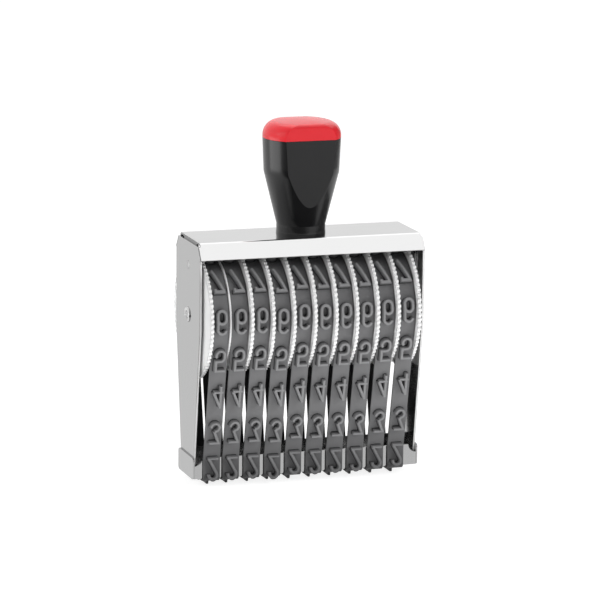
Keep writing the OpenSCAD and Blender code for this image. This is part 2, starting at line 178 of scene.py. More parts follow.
# nickel-plated sheet steel: a clear grey mirror with a faint rolling grain and handling marks;
# painted shade darkens the edges that lie against another sheet, open sheared edges (attribute "sheared") are
# dull and pale
def makePlatedSteel(name, smoothest, roughest):
    material, tree = newMaterial(name)
    coords = addNode(tree, "ShaderNodeTexCoord")
    stretch = addNode(tree, "ShaderNodeMapping", values={"Scale": (1, 8, 8)},  # grain runs along the sheet
                      links={"Vector": coords.outputs["Object"]})
    grain = addNode(tree, "ShaderNodeTexNoise", values={"Scale": 900.0, "Detail": 3.0, "Roughness": 0.6},
                    links={"Vector": stretch.outputs[0]})  # about 1 mm long, 0.14 mm wide
    cloud = addNode(tree, "ShaderNodeTexNoise", values={"Scale": 55.0, "Detail": 2.0},
                    links={"Vector": coords.outputs["Object"]})  # 18 mm handling marks
    rough = addNode(tree, "ShaderNodeMapRange",
                    values={"From Min": 0.3, "From Max": 0.7, "To Min": smoothest, "To Max": roughest},
                    links={"Value": cloud.outputs["Fac"]})
    bump = addNode(tree, "ShaderNodeBump", values={"Strength": 0.012, "Distance": 0.0001},
                   links={"Height": grain.outputs["Fac"]})
    # painted shade: edges lying against another sheet go dark grey
    cut = addNode(tree, "ShaderNodeAttribute", settings={"attribute_name": "cut"})
    tone = addNode(tree, "ShaderNodeMix", settings={"data_type": "RGBA"},
                   values={"A": linear("#c4c4c4"), "B": linear("#808080")}, links={0: cut.outputs["Fac"]})
    sheared = addNode(tree, "ShaderNodeAttribute", settings={"attribute_name": "sheared"})
    edgeTone = addNode(tree, "ShaderNodeMix", settings={"data_type": "RGBA"}, values={"B": linear("#d6d6d6")},
                       links={0: sheared.outputs["Fac"], "A": tone.outputs["Result"]})
    metal = addNode(tree, "ShaderNodeMath", settings={"operation": "SUBTRACT"}, values={0: 1.0},
                    links={1: sheared.outputs["Fac"]})
    dull = addNode(tree, "ShaderNodeMath", settings={"operation": "MULTIPLY_ADD"}, values={1: 0.45},
                   links={0: sheared.outputs["Fac"], 2: rough.outputs["Result"]})
    shader = addNode(tree, "ShaderNodeBsdfPrincipled",
                     links={"Base Color": edgeTone.outputs["Result"], "Metallic": metal.outputs[0],
                            "Roughness": dull.outputs[0]})
    closeMaterial(tree, shader, bump)
    return material


# white ABS, moulded: bright, slight gloss, faint flow marks; a painted shade darkens the rim's flank in the
# corner between band and rim
def makeWhiteAbs():
    material, tree = newMaterial("whiteAbsMoulded")
    coords = addNode(tree, "ShaderNodeTexCoord")
    flow = addNode(tree, "ShaderNodeTexNoise", values={"Scale": 160.0, "Detail": 3.0},
                   links={"Vector": coords.outputs["Object"]})  # 6 mm clouds
    tone = addNode(tree, "ShaderNodeMix", settings={"data_type": "RGBA"},
                   values={"A": linear("#eaeaea"), "B": linear("#f2f2f2")}, links={0: flow.outputs["Fac"]})
    cornerShade = addNode(tree, "ShaderNodeAttribute", settings={"attribute_name": "cornerShade"})
    # painted shade in the corner between band and rim
    cornerShaded = addNode(tree, "ShaderNodeMix", settings={"data_type": "RGBA"}, values={"B": linear("#303031")},
                     links={0: cornerShade.outputs["Fac"], "A": tone.outputs["Result"]})
    bump = addNode(tree, "ShaderNodeBump", values={"Strength": 0.08, "Distance": 0.0001},
                   links={"Height": flow.outputs["Fac"]})
    shader = addNode(tree, "ShaderNodeBsdfPrincipled",
                     values={"Roughness": 0.38, "IOR": 1.53, "Subsurface Weight": 0.5,
                             "Subsurface Radius": (1, 1, 1), "Subsurface Scale": 0.002},  # 2 mm deep
                     links={"Base Color": cornerShaded.outputs["Result"]})
    closeMaterial(tree, shader, bump)
    return material


# vulcanised grey rubber: matt, with fine pores; attribute "lift" makes the raised tops paler (above 0), a
# painted highlight with some rubbed wear, and paints shade near black at the strokes' feet and on the inner
# face (below 0)
def makeRubber():
    material, tree = newMaterial("greyRubberVulcanised")
    coords = addNode(tree, "ShaderNodeTexCoord")
    pores = addNode(tree, "ShaderNodeTexNoise", values={"Scale": 2600.0, "Detail": 2.0},
                    links={"Vector": coords.outputs["Object"]})  # 0.4 mm pores
    cloud = addNode(tree, "ShaderNodeTexNoise", values={"Scale": 140.0, "Detail": 3.0},
                    links={"Vector": coords.outputs["Object"]})  # 7 mm bloom
    plain = addNode(tree, "ShaderNodeMix", settings={"data_type": "RGBA"},
                    values={"A": linear("#656566"), "B": linear("#6f6f70")}, links={0: cloud.outputs["Fac"]})
    lift = addNode(tree, "ShaderNodeAttribute", settings={"attribute_name": "lift"})
    outer = addNode(tree, "ShaderNodeMath", settings={"operation": "ADD", "use_clamp": True}, values={1: 1.0},
                    links={0: lift.outputs["Fac"]})
    # painted shade: the strokes' feet and the belt's inner face go near black
    paintedShade = addNode(tree, "ShaderNodeMix", settings={"data_type": "RGBA"}, values={"A": linear("#141415")},
                   links={0: outer.outputs[0], "B": plain.outputs["Result"]})
    # painted highlight with some rubbed wear: the raised tops go paler
    tone = addNode(tree, "ShaderNodeMix", settings={"data_type": "RGBA"}, values={"B": linear("#7e7e7f")},
                   links={0: lift.outputs["Fac"], "A": paintedShade.outputs["Result"]})
    bump = addNode(tree, "ShaderNodeBump", values={"Strength": 0.12, "Distance": 0.0001},
                   links={"Height": pores.outputs["Fac"]})
    shader = addNode(tree, "ShaderNodeBsdfPrincipled",
                     values={"Roughness": 0.62, "IOR": 1.5, "Specular IOR Level": 0.2},
                     links={"Base Color": tone.outputs["Result"]})
    closeMaterial(tree, shader, bump)
    return material


# moulded ABS of the grip: one colour with a fine spark-eroded texture
def makeGripAbs(name, dark, light, roughness):
    material, tree = newMaterial(name)
    coords = addNode(tree, "ShaderNodeTexCoord")
    spark = addNode(tree, "ShaderNodeTexNoise", values={"Scale": 3200.0, "Detail": 2.0},
                    links={"Vector": coords.outputs["Object"]})  # 0.3 mm texture
    cloud = addNode(tree, "ShaderNodeTexNoise", values={"Scale": 90.0, "Detail": 2.0},
                    links={"Vector": coords.outputs["Object"]})  # 11 mm clouds
    tone = addNode(tree, "ShaderNodeMix", settings={"data_type": "RGBA"},
                   values={"A": linear(dark), "B": linear(light)}, links={0: cloud.outputs["Fac"]})
    bump = addNode(tree, "ShaderNodeBump", values={"Strength": 0.05, "Distance": 0.0001},
                   links={"Height": spark.outputs["Fac"]})
    shader = addNode(tree, "ShaderNodeBsdfPrincipled", values={"Roughness": roughness, "IOR": 1.53},
                     links={"Base Color": tone.outputs["Result"]})
    closeMaterial(tree, shader, bump)
    return material


# turned brass of the hidden insert: warm metal with fine tool rings
def makeBrass():
    material, tree = newMaterial("brassTurned")
    coords = addNode(tree, "ShaderNodeTexCoord")
    rings = addNode(tree, "ShaderNodeTexWave", settings={"bands_direction": "Z"},
                    values={"Scale": 600.0, "Distortion": 0.5},
                    links={"Vector": coords.outputs["Object"]})  # a ring every 0.5 mm
    bump = addNode(tree, "ShaderNodeBump", values={"Strength": 0.1, "Distance": 0.0001},
                   links={"Height": rings.outputs["Fac"]})
    shader = addNode(tree, "ShaderNodeBsdfPrincipled",
                     values={"Base Color": linear("#c8a452"), "Metallic": 1.0, "Roughness": 0.3})
    closeMaterial(tree, shader, bump)
    return material


platedSteel = makePlatedSteel("nickelPlatedSteelBright", 0.1, 0.16)
rivetSteel = makePlatedSteel("nickelPlatedSteelSatin", 0.38, 0.48)
whiteAbs = makeWhiteAbs()
greyRubber = makeRubber()
blackAbs = makeGripAbs("blackAbsMoulded", "#0d0d0e", "#131314", 0.22)
redAbs = makeGripAbs("redAbsMoulded", "#cf1320", "#d71926", 0.24)
turnedBrass = makeBrass()
print("materials made")


# number bands: a rubber loop with raised characters, all bent along the same path
bandSet = {"count": 10, "thick": 0.8, "relief": 2.2, "pitch": 14.4, "start": 0.4, "loopR": 20.0,
           "shoeHalf": shoeHigh[1] + 0.05, "floorZ": shoeLow[2] - 0.05, "creaseZ": shoeHigh[2],
           "cornerR": 1.05, "creaseR": 0.7, "outerSoft": 0.16, "innerSoft": 0.12,
           "glyphW": 3.9, "glyphH": 8.6, "rootW": 1.4, "topW": 0.8, "order": "1234567890-./",
           "overCorner": "2",  # stands over the printing face's front corner
           "handSet": (0, 0, 0, -0.7, 0.35, 0, 0, 0, 0.35, 0.7),  # no wheel is turned quite true
           # both tones below 0 paint shade, at the strokes' feet and on the belt's inner face
           "footShadeTone": -0.85, "innerShadeTone": -0.9, "strokeStep": 0.012, "smoothAngle": 40,
           "steps": {"print": 10, "corner": 8, "shoe": 8, "crease": 4, "slope": 60, "wheel": 54}}


# half of the loop's outer face from the middle of the printing face to the top: [y, z, ny, nz]
def loopPath(s):
    t, half, floorZ, cornerR, steps = s["thick"], s["shoeHalf"], s["floorZ"], s["cornerR"], s["steps"]
    r = s["loopR"] + t
    dist = math.hypot(half, axleZ - s["creaseZ"])
    lean = math.asin(s["loopR"] / dist) - math.atan2(half, axleZ - s["creaseZ"])
    corner = cornerR + t
    creaseZ = s["creaseZ"] - t * math.tan(lean / 2)
    points = []

    def straight(a, b, n, normal):
        for i in range(n):
            f = i / n
            points.append((a[0] + (b[0] - a[0]) * f, a[1] + (b[1] - a[1]) * f) + normal)

    yo = half + t
    straight((0, floorZ - t), (-(half - cornerR), floorZ - t), steps["print"], (0, -1))
    for i in range(steps["corner"]):
        a = math.radians(90 * i / steps["corner"])
        points.append((-(half - cornerR) - corner * math.sin(a), floorZ + cornerR - corner * math.cos(a),
                       -math.sin(a), -math.cos(a)))
    bend = s["creaseR"] * math.tan(lean / 2)
    bendZ = creaseZ - bend
    straight((-yo, floorZ + cornerR), (-yo, bendZ), steps["shoe"], (-1, 0))
    for i in range(steps["crease"]):  # soft crease over the shoe's top edge
        a = lean * i / steps["crease"]
        points.append((-yo - s["creaseR"] * (1 - math.cos(a)), bendZ + s["creaseR"] * math.sin(a),
                       -math.cos(a), -math.sin(a)))
    start = (-yo - bend * math.sin(lean), creaseZ + bend * math.cos(lean))
    end = (-r * math.cos(lean), axleZ - r * math.sin(lean))
    straight(start, end, steps["slope"], (-math.cos(lean), -math.sin(lean)))
    for i in range(steps["wheel"] + 1):
        a = -lean + (math.pi / 2 + lean) * i / steps["wheel"]
        points.append((-r * math.cos(a), axleZ + r * math.sin(a), -math.cos(a), math.sin(a)))
    return points


halfLoop = loopPath(bandSet)
wholeLoop = halfLoop + [(-y, z, -ny, nz) for y, z, ny, nz in reversed(halfLoop[1:-1])]
loopStations = [0.0]
for i in range(len(wholeLoop)):
    a, b = wholeLoop[i], wholeLoop[(i + 1) % len(wholeLoop)]
    loopStations.append(loopStations[-1] + math.hypot(b[0] - a[0], b[1] - a[1]))
loopLength = loopStations[-1]


# place on the loop's outer face at length s: [y, z, ny, nz]
def loopPlace(s):
    s = s % loopLength
    low, high = 0, len(wholeLoop)
    while high - low > 1:
        middle = (low + high) // 2
        if loopStations[middle] <= s:
            low = middle
        else:
            high = middle
    f = (s - loopStations[low]) / (loopStations[low + 1] - loopStations[low])
    a, b = wholeLoop[low], wholeLoop[(low + 1) % len(wholeLoop)]
    return [a[k] + (b[k] - a[k]) * f for k in range(4)]


# point at length s, lift above the outer face; aim pulls its way out towards another normal
def onLoop(x, s, lift, aim=(0, 0)):
    y, z, ny, nz = loopPlace(s)
    ny, nz = ny + aim[0], nz + aim[1]
    size = math.hypot(ny, nz)
    return x, y + ny / size * lift, z + nz / size * lift


# centre lines of a character's strokes as (points, closed), in mm about its middle
def glyphStrokes(c, s):
    hx, hy = s["glyphW"] / 2, s["glyphH"] / 2
    mx, my = hx - s["topW"] / 2, hy - s["topW"] / 2
    bowl = hy - hx

    def arc(y, start, end, n=14, r=mx):
        return [(r * math.cos(math.radians(start + (end - start) * i / n)),
                 y + r * math.sin(math.radians(start + (end - start) * i / n))) for i in range(n + 1)]

    def ring(y, h):
        d = h / 2 - mx
        return arc(y + d, 0, 180, 12) + arc(y - d, 180, 360, 12)

    if c == "0":
        return [(ring(0, 2 * my), True)]
    if c == "1":
        return [([(0, -hy), (0, hy)], False), ([(0, my), (-hx * 0.7, my - hx * 0.7)], False)]
    if c == "2":
        return [(arc(bowl, 190, -25) + [(-mx, -my)], False), ([(-hx, -my), (hx, -my)], False)]
    if c == "3":
        return [([(-hx, my), (mx, my), (-0.3, mx - bowl)], False), (arc(-bowl, 95, -180), False)]
    if c == "4":
        stem, bar = mx - 0.45, -my / 2
        return [([(stem, -hy), (stem, hy)], False), ([(stem, my), (-mx, bar)], False),
                ([(-mx, bar), (hx, bar)], False)]
    if c == "5":
        top = my * 1.05 - my  # of the bowl, just over the middle
        bowlLine = arc(top - mx, 80, 0, 6) + arc(mx - my, 0, -215)
        return [([(hx, my), (-mx, my), (-mx, top), (-0.4, top)] + bowlLine, False)]
    if c == "6":
        h = my * 1.12  # of the closed bowl
        return [(ring(-my + h / 2, h), True), ([(-mx, -my + h / 2)] + arc(bowl, 180, 15), False)]
    if c == "7":
        return [([(-mx, my - 0.9), (-mx, my), (mx, my), (-1.6, -hy)], False)]
    if c == "8":
        return [(ring(side * my / 2, my), True) for side in (-1, 1)]
    if c == "9":
        return [([(-x, -y) for x, y in points], closed) for points, closed in glyphStrokes("6", s)]
    if c == "-":
        return [([(-hx, 0), (hx, 0)], False)]
    if c == ".":
        return [([(-0.5, -hy + 0.7), (0.5, -hy + 0.7)], False)]
    return [([(-mx, -hy), (mx, hy)], False)]


# short, even steps so that a stroke can bend along the loop
def evenSteps(points, closed, longest=0.9):
    ring = points + points[:1] if closed else points
    out = []
    for a, b in zip(ring, ring[1:]):
        n = max(1, int(math.hypot(b[0] - a[0], b[1] - a[1]) / longest + 0.5))
        out += [(a[0] + (b[0] - a[0]) * i / n, a[1] + (b[1] - a[1]) * i / n) for i in range(n)]
    return out if closed else out + [ring[-1]]


# the way across a stroke at each of its points, longer at a corner for the mitre
def strokeSections(points, closed):
    n = len(points)
    sides = []
    for i in range(n):
        before = points[i - 1] if closed or i > 0 else None
        after = points[(i + 1) % n] if closed or i < n - 1 else None
        here = points[i]
        ways = []
        for a, b in ((before, here), (here, after)):
            if a is not None and b is not None:
                length = math.hypot(b[0] - a[0], b[1] - a[1]) or 1e-9
                ways.append(((b[0] - a[0]) / length, (b[1] - a[1]) / length))
        tx = sum(w[0] for w in ways)
        ty = sum(w[1] for w in ways)
        length = math.hypot(tx, ty) or 1e-9
        tx, ty = tx / length, ty / length
        stretch = 1.0
        if len(ways) == 2:
            cosine = max(0.5, tx * ways[0][0] + ty * ways[0][1])
            stretch = 1 / cosine
        sides.append((-ty * stretch, tx * stretch))
    return sides


# a stroke's cross-section as (place across it, height, tone): 1 is paler, a painted highlight with some
# rubbed wear, below 0 is painted shade at the stroke's foot; a later stroke of the same character is a hair
# smaller, so that no two faces lie in one plane
def strokeProfile(s, less):
    root, top, h = s["rootW"] / 2 - less, s["topW"] / 2 - less, s["relief"] - less
    half = [(top * 0.4, h, 1.0), (top - 0.05, h - 0.02, 1.0), (top + 0.05, h - 0.14, 0.4),
            (root - 0.05, 0.12, s["footShadeTone"]), (root + 0.12, -0.15, s["footShadeTone"])]
    return [(-across, lift, tone) for across, lift, tone in reversed(half)] + half


# the belt's cross-section as (place across it, height), with softened edges
def beltSection(half, s):
    t, inner, outer = s["thick"], s["innerSoft"], s["outerSoft"]
    right = [(half - 0.5, 0.0), (half - outer, 0.0), (half - 0.05, -0.05), (half, -outer), (half, -t + inner),
             (half - inner, -t)]
    return [(-x, lift) for x, lift in reversed(right[:-1])] + right + [(-half + inner, -t)]


# one band; the characters run down the loop, which mirrors them
def bandMesh(name, node, offset, s):
    low, high = boxOf(node)
    middleX, half = (low[0] + high[0]) / 2, (high[0] - low[0]) / 2
    section = beltSection(half, s)
    points, tones = [], []
    for y, z, ny, nz in wholeLoop:
        for x, lift in section:
            points.append((middleX + x, y + ny * lift, z + nz * lift))
            # the belt's inner face gets painted shade
            tones.append(s["innerShadeTone"] if lift < -s["thick"] / 2 else 0.0)
    faces = skinFaces(0, len(wholeLoop), len(section), True)
    for index, c in enumerate(s["order"]):
        place = s["start"] + index * s["pitch"] + offset
        aim = loopPlace(place)[2:] if c in s["overCorner"] else (0, 0)
        for order, (stroke, closed) in enumerate(glyphStrokes(c, s)):
            profile = strokeProfile(s, s["strokeStep"] * order)
            stroke = evenSteps(stroke, closed)
            first, across, last = len(points), len(profile), len(stroke) - 1
            for (gx, gy), (sx, sy) in zip(stroke, strokeSections(stroke, closed)):
                for out, lift, tone in profile:
                    points.append(onLoop(middleX + gx + sx * out, place - gy - sy * out, lift, aim))
                    tones.append(tone)
            faces += skinFaces(first, len(stroke), across, closed)
            if not closed:
                faces.append(tuple(first + k for k in range(across)))
                faces.append(tuple(first + last * across + k for k in reversed(range(across))))
    mesh = bpy.data.meshes.new(name)
    mesh.from_pydata([Vector(p) * mm for p in points], [], faces)
    mesh.attributes.new("lift", "FLOAT", "POINT").data.foreach_set("value", tones)
    shapeUp(mesh, s["smoothAngle"])
    return mesh


for i in range(bandSet["count"]):
    name, node = "rubberBand%02d" % (i + 1), "number_band_%02d" % (i + 1)
    belt = bandMesh(name, node, bandSet["handSet"][i], bandSet)
    addPiece(name, belt, greyRubber, "frame", node)
print("bands made, loop length %.1f mm" % loopLength)


# thumb wheels: a drum with a rim, and a ring of rounded finger teeth from Geometry Nodes
wheelSet = {"rimR": 23.8, "rimT": 1.3, "drumR": 19.8, "drumW": 6.6, "wall": 2.0, "hubR": 5.0, "boreR": 2.45,
            "flangeT": 0.6, "flangeR": 21.6, "soft": 0.15, "rimSoft": 0.22, "teeth": 80, "toothUp": 0.5,
            # three of the keys below place a ring of painted shade on the rim's flank, next to the drum
            "toothAlong": 0.62, "toothRoot": 0.1, "toothInset": 0.06, "cornerShadeH": 1.7, "cornerShadeFrom": 0.1,
            "cornerShadeTo": 0.7, "steps": 120, "smoothAngle": 32, "toothAngle": 50}


# tree that sets rounded teeth round a circle, across a rim
def teethTree():
    tree = bpy.data.node_groups.new("fingerTeeth", "GeometryNodeTree")
    face = tree.interface
    face.new_socket("Geometry", in_out="OUTPUT", socket_type="NodeSocketGeometry")
    for name, kind in (("Circle Radius", "Float"), ("Tooth Count", "Int"), ("Tooth Height", "Float"),
                       ("Tooth Length", "Float"), ("Tooth Width", "Float"), ("Side Place", "Float"),
                       ("Axle Height", "Float"), ("Finish", "Material")):
        face.new_socket(name, in_out="INPUT", socket_type="NodeSocket" + kind)
    inputs = addNode(tree, "NodeGroupInput")
    pick = inputs.outputs
    circle = addNode(tree, "GeometryNodeMeshCircle",
                     links={"Vertices": pick["Tooth Count"], "Radius": pick["Circle Radius"]})
    bar = addNode(tree, "GeometryNodeMeshCylinder", values={"Vertices": 10, "Radius": 1.0, "Depth": 2.0})
    size = addNode(tree, "ShaderNodeCombineXYZ",
                   links={"X": pick["Tooth Height"], "Y": pick["Tooth Length"], "Z": pick["Tooth Width"]})
    outward = addNode(tree, "GeometryNodeInputPosition")
    turn = addNode(tree, "FunctionNodeAlignRotationToVector", settings={"axis": "X"},
                   links={"Vector": outward.outputs[0]})
    bars = addNode(tree, "GeometryNodeInstanceOnPoints",
                   links={"Points": circle.outputs["Mesh"], "Instance": bar.outputs["Mesh"],
                          "Rotation": turn.outputs[0], "Scale": size.outputs[0]})
    place = addNode(tree, "ShaderNodeCombineXYZ", links={"X": pick["Side Place"], "Z": pick["Axle Height"]})
    stand = addNode(tree, "GeometryNodeTransform", values={"Rotation": (0, math.pi / 2, 0)},
                    links={"Geometry": bars.outputs[0], "Translation": place.outputs[0]})
    real = addNode(tree, "GeometryNodeRealizeInstances", links={"Geometry": stand.outputs[0]})
    finish = addNode(tree, "GeometryNodeSetMaterial",
                     links={"Geometry": real.outputs[0], "Material": pick["Finish"]})
    addNode(tree, "NodeGroupOutput", links={"Geometry": finish.outputs[0]})
    return tree


# runs a tree with its inputs set by identifier and returns the plain mesh
def meshFromTree(tree, name, values):
    holder = bpy.data.objects.new(name + "Holder", bpy.data.meshes.new(name + "Start"))
    scene.collection.objects.link(holder)
    modifier = holder.modifiers.new("nodes", "NODES")
    modifier.node_group = tree
    for item in tree.interface.items_tree:
        if item.in_out == "INPUT" and item.name in values:
            modifier[item.identifier] = values[item.name]
    return takeMesh(holder, modifier)


# closed profile of (x, r) turned round the axle
def turned(profile, steps):
    points = []
    for i in range(steps):
        a = 2 * math.pi * i / steps
        points += [(x, r * math.sin(a), axleZ + r * math.cos(a)) for x, r in profile]
    return points, skinFaces(0, steps, len(profile), True)


fingerTeeth = teethTree()


# half profile of a wheel as (place along the axle, radius); the first has its rim on the left
# and a thin flange on the right
def wheelProfile(left, first, s):
    w, t, soft, rimSoft, drumR = s["drumW"], s["rimT"], s["soft"], s["rimSoft"], s["drumR"]
    body, inner = s["rimR"] - s["toothUp"], drumR - s["wall"]
    hub = [(0, s["boreR"]), (0, s["hubR"]), (w, s["hubR"]), (w, inner), (0, inner)]
    edge = [(0, drumR - soft), (soft, drumR)]
    if first:
        f, fr = s["flangeT"], s["flangeR"]
        edge = [(-f, inner), (-f, fr - soft), (-f + soft, fr), (-soft, fr), (0, fr - soft), (0, drumR)]
    rim = [(w - 0.25, drumR), (w, drumR + 0.25), (w + 0.03, drumR + 0.6), (w + 0.03, drumR + s["cornerShadeH"]),
           (w + 0.02, body - 0.35), (w + rimSoft, body), (w + t - rimSoft, body), (w + t - 0.02, body - 0.35),
           (w + t, s["hubR"] + 4), (w + t, s["boreR"])]
    if first:
        return [(left + t + w - x, r) for x, r in reversed(hub + edge + rim)]
    return [(left + x, r) for x, r in hub + edge + rim]


def wheelMesh(name, left, first, s):
    points, faces = turned(wheelProfile(left, first, s), s["steps"])
    mesh = meshFrom(name, points, faces, s["smoothAngle"])
    middle = left + s["rimT"] / 2 if first else left + s["drumW"] + s["rimT"] / 2
    teeth = meshFromTree(fingerTeeth, name, {
        "Circle Radius": (s["rimR"] - s["toothUp"] - s["toothRoot"]) * mm, "Tooth Count": s["teeth"],
        "Tooth Height": (s["toothUp"] + s["toothRoot"]) * mm, "Tooth Length": s["toothAlong"] * mm,
        "Tooth Width": (s["rimT"] / 2 - s["toothInset"]) * mm, "Side Place": middle * mm,
        "Axle Height": axleZ * mm, "Finish": whiteAbs})
    teeth.shade_smooth()
    teeth.set_sharp_from_angle(angle=math.radians(s["toothAngle"]))
    bm = bmesh.new()
    bm.from_mesh(mesh)
    bm.from_mesh(teeth)
    bm.to_mesh(mesh)
    bm.free()
    # a ring of painted shade on the rim's flank just outside the drum
    cornerShade = mesh.attributes.new("cornerShade", "FLOAT", "POINT")
    for v in mesh.vertices:
        r = math.hypot(v.co.y / mm, v.co.z / mm - axleZ)
        cornerShade.data[v.index].value = float(s["cornerShadeFrom"] < r - s["drumR"] < s["cornerShadeTo"])
    return mesh


for i in range(bandSet["count"]):
    name, node = "thumbWheel%02d" % (i + 1), "thumb_wheel_%02d" % (i + 1)
    wheel = wheelMesh(name, boxOf(node)[0][0], i == 0, wheelSet)
    addPiece(name, wheel, whiteAbs, "wheel_%02d" % (i + 1), node)
print("wheels made")


# steel frame: each sheet piece is a clean copy of its node with softened edges, this many mm wide
frameSet = {"roof": 0.16, "left_cheek": 0.14, "right_cheek": 0.14, "platen_shoe": 0.12, "wheel_axle": 0.16,
            "frame_rivets": 0.1, "axle_washer": 0.08, "handle_screw": 0.2, "screw_washer": 0.08}
# weld and sliver are in metres, the last two in mm
softSet = {"weld": 2e-6, "flatAngle": 0.6, "edgeAngle": 28, "segments": 2, "sliver": 1e-6, "smoothAngle": 30,
           "topBand": 2.0, "axleEndR": 1.5}
punchSet = {"depth": 0.15, "dip": 0.5, "hollow": 0.3, "offAxis": 0.1}


def softCopy(node, width, s):
    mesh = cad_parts[node].data.copy()
    bm = bmesh.new()
    bm.from_mesh(mesh)
    bmesh.ops.remove_doubles(bm, verts=bm.verts, dist=s["weld"])
    bmesh.ops.dissolve_limit(bm, angle_limit=math.radians(s["flatAngle"]), verts=bm.verts, edges=bm.edges)
    sharp = math.radians(s["edgeAngle"])
    edges = [e for e in bm.edges if len(e.link_faces) == 2 and e.calc_face_angle(0) > sharp]
    bmesh.ops.bevel(bm, geom=edges, offset=width * mm, segments=s["segments"], profile=0.5, affect="EDGES",
                    clamp_overlap=True)
    bmesh.ops.remove_doubles(bm, verts=bm.verts, dist=s["sliver"])  # clamped bevels leave slivers
    bmesh.ops.dissolve_degenerate(bm, edges=bm.edges, dist=s["sliver"])
    bmesh.ops.recalc_face_normals(bm, faces=bm.faces)
    bm.to_mesh(mesh)
    bm.free()
    for name in [a.name for a in mesh.attributes if a.name in ("custom_normal", "sharp_edge")]:
        mesh.attributes.remove(mesh.attributes[name])
    mesh.shade_smooth()
    mesh.set_sharp_from_angle(angle=math.radians(s["smoothAngle"]))
    return evenNormals(mesh)


# lets the large faces rule the normals, so that flat sheet shades flat up to its soft edge
def evenNormals(mesh):
    holder = bpy.data.objects.new("normalsHolder", mesh)
    scene.collection.objects.link(holder)
    modifier = holder.modifiers.new("even", "WEIGHTED_NORMAL")
    modifier.keep_sharp = True
    modifier.weight = 100
    return takeMesh(holder, modifier)


# marks painted shade on the edges that lie against another sheet, and the open edges of cheeks, roof and
# punched axle ends
def markEdges(mesh, node, s):
    seamShadeMark = mesh.attributes.new("cut", "FLOAT", "FACE")
    sheared = mesh.attributes.new("sheared", "FLOAT", "FACE")
    top = max(v.co.z for v in mesh.vertices) - s["topBand"] * mm
    lipLow = boxOf("roof")[0][2] * mm
    for face in mesh.polygons:
        z, normal = face.center.z, face.normal
        cheekEdge = node in ("left_cheek", "right_cheek") and abs(normal.x) < 0.3
        behindLip = cheekEdge and lipLow < z < top and abs(normal.y) > 0.5
        shoeTop = node == "platen_shoe" and normal.z > 0.5 and z > top
        roofEnd = node == "roof" and abs(normal.x) > 0.8
        axleEnd = node == "wheel_axle" and math.hypot(face.center.y, z - axleZ * mm) < s["axleEndR"] * mm
        openEdge = axleEnd or (cheekEdge and z < lipLow) or (roofEnd and z > top)
        # painted shade where the sheets meet and on the shoe's top
        seamShadeMark.data[face.index].value = float(behindLip or shoeTop or (roofEnd and z < top))
        sheared.data[face.index].value = float(openEdge)


# turns the flat bottom of each hollow axle end into a shallow cone, as a punch leaves it
def punchEnds(mesh, s):
    bm = bmesh.new()
    bm.from_mesh(mesh)
    end = max(v.co.x for v in bm.verts)
    bottoms = []
    for face in bm.faces:
        middle = face.calc_center_median()
        hollow = abs(face.normal.x) > 0.95 and abs(middle.x) < end - s["hollow"] * mm
        if hollow and math.hypot(middle.y, middle.z - axleZ * mm) < s["offAxis"] * mm:
            bottoms.append(face)
    for face in bottoms:
        side = 1 if face.normal.x > 0 else -1
        for v in face.verts:
            v.co.x = side * (end - s["depth"] * mm)
    for v in bmesh.ops.poke(bm, faces=bottoms)["verts"]:
        v.co.x -= math.copysign(s["dip"] * mm, v.co.x)
    print("axle ends punched:", len(bottoms))
    bm.to_mesh(mesh)
    bm.free()


for node, width in frameSet.items():
    sheet = softCopy(node, width, softSet)
    if node == "wheel_axle":
        punchEnds(sheet, punchSet)
    markEdges(sheet, node, softSet)
    steel = rivetSteel if node == "frame_rivets" else platedSteel
    addPiece("steel_" + node, sheet, steel, "frame", node)
print("frame made")


# grip: round in plan, cut by a flat front and back; its cone leaves a U-shaped lower edge on each flat
gripSet = {"flat": 10.8, "edge": 0.5, "footR": 9.1, "footH": 0.9, "footStep": 0.1, "neckR": 9.0, "neckH": 3.5,
           "shoulderR": 13.85, "shoulderH": 23.0, "topR": 14.4, "seamBreak": 0.07, "sharpAngle": 12,
           "coneSteps": 5, "edgeSteps": 16, "sideSteps": 6}
capSet = {"flat": 10.8, "edge": 0.5, "frontEdgeR": 1.5, "edgeR": 5.2, "crown": 0.6, "r": 14.4,
          "cornerShare": 0.82,  # the corners pull in less than the sides
          "seamBreak": 0.07, "sharpAngle": 35, "edgeTurn": 86, "edgeSteps": 30, "crownSteps": 10,
          "crownEnd": 0.995}


# plan outline from the front's middle round to the right: flat, rounded corner, arc from cornerR to sideR
def quarterOutline(sideR, cornerR, flat, e, flatSteps=8, cornerSteps=8, arcSteps=20):
    flat = min(flat, cornerR)
    e = min(e, cornerR / 2)
    centre = math.sqrt(max(0.0, (cornerR - e) ** 2 - (flat - e) ** 2))
    start = math.atan2(e - flat, centre)
    out = [(centre * i / flatSteps, -flat) for i in range(flatSteps)]
    for i in range(cornerSteps):
        a = -math.pi / 2 + (start + math.pi / 2) * i / cornerSteps
        out.append((centre + e * math.cos(a), e - flat + e * math.sin(a)))
    for i in range(arcSteps + 1):
        f = i / arcSteps
        r = cornerR + (sideR - cornerR) * f * f * (3 - 2 * f)
        out.append((r * math.cos(start * (1 - f)), r * math.sin(start * (1 - f))))
    return out


def planOutline(sideR, cornerR, flat, edge):
    front = quarterOutline(sideR, cornerR, flat, edge)
    right = front + [(x, -y) for x, y in reversed(front[:-1])]
    return right + [(-x, y) for x, y in reversed(right[1:-1])]


# skins the plan outlines of all rings (side radius, corner radius, flat, z), and closes both ends
def gripMesh(name, rings, s):
    points = []
    for sideR, cornerR, flat, z in rings:
        points += [(x, y, z) for x, y in planOutline(sideR, cornerR, flat, s["edge"])]
    last, around = len(rings) - 1, len(points) // len(rings)
    faces = skinFaces(0, len(rings), around, False)
    faces.append(tuple(range(around - 1, -1, -1)))
    faces.append(tuple(last * around + k for k in range(around)))
    return meshFrom(name, points, faces, s["sharpAngle"])


